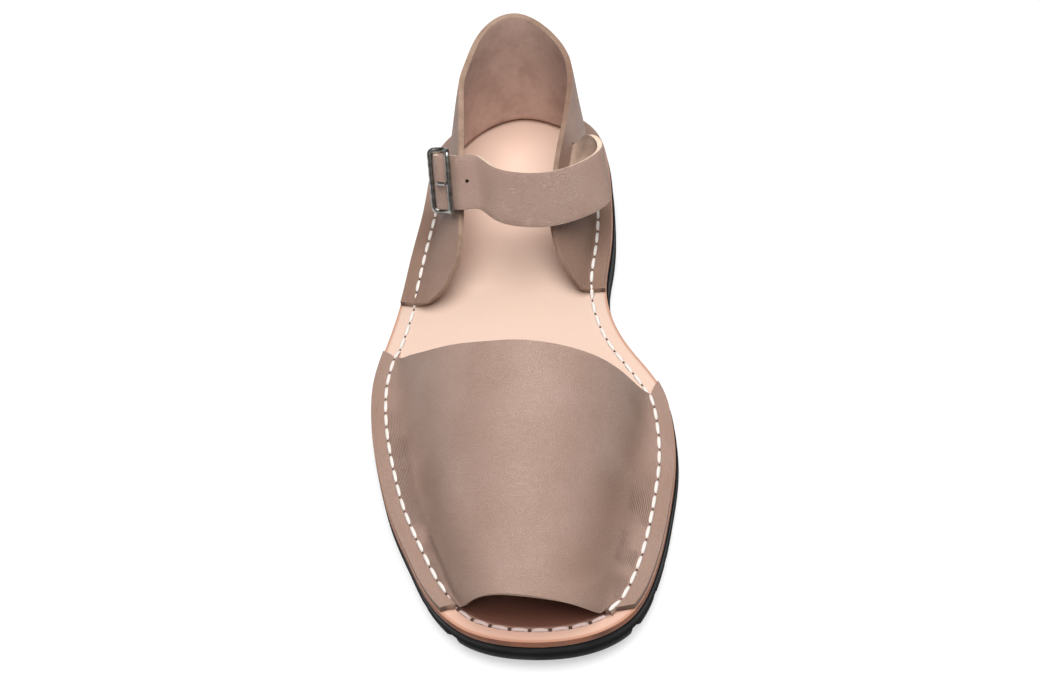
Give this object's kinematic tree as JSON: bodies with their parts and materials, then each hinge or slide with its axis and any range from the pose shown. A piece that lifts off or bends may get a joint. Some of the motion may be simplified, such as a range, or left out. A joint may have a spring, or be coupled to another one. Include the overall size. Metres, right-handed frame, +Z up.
{
  "type": "friar sandal",
  "caption": "Open-toed flat leather friar sandal: arched one-piece vamp and peaked heel counter stitched to a leather insole on a ribbed rubber sole, with a buckled ankle strap.",
  "frame": {"origin": "middle of the bounding box at the floor the sole stands on", "axes": "+Z up, +Y from toe to heel along the shoe, +X towards the inner side of the foot"},
  "size_m": [0.1102, 0.2656, 0.0727],
  "materials": {
    "black_rubber": "matte, moulded tread",
    "natural_leather": "smooth vegetable-tanned",
    "taupe_leather": "soft oiled grain",
    "aged_nickel": "aged nickel plate"
  },
  "bodies": {
    "root": {"outsole": "black_rubber", "insole": "natural_leather", "vamp": "taupe_leather", "heel_counter": "taupe_leather", "ankle_strap": "taupe_leather", "buckle_tab": "taupe_leather", "buckle_frame": "aged_nickel", "buckle_prong": "aged_nickel"}
  },
  "joints": []
}
